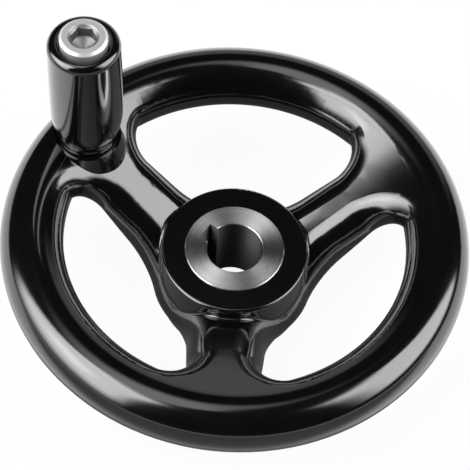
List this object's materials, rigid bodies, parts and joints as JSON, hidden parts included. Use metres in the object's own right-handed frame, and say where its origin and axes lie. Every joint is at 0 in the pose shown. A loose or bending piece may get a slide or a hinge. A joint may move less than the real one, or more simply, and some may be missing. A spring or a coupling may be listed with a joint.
{
  "type": "machine handwheel",
  "caption": "Spoked machine handwheel in glossy black moulding with a keyed steel bore and a revolving handle.",
  "frame": {"origin": "centre of the hub's back face, on the bore's axis", "axes": "+Z runs along the bore from the back face towards the operator; the handle's spoke and the keyway lie at 150 degrees from +X about +Z, and one spoke points along -Y"},
  "size_m": [0.1, 0.1, 0.0612],
  "materials": {
    "wheel_moulding": "glossy",
    "turned_steel": "turned",
    "turned_brass": "turned",
    "plated_steel": "satin",
    "grip_moulding": "glossy"
  },
  "bodies": {
    "wheel": {"wheel_body": "wheel_moulding", "hub_bush": "turned_steel", "seat_bush": "turned_brass", "handle_spindle": "plated_steel"},
    "grip": {"handle_grip": "grip_moulding"}
  },
  "joints": [
    {"name": "grip_spin", "type": "hinge", "parent": "wheel", "child": "grip", "pos_m": [-0.03395, 0.0196, 0.0283], "axis": [0, 0, 1], "continuous": true}
  ]
}
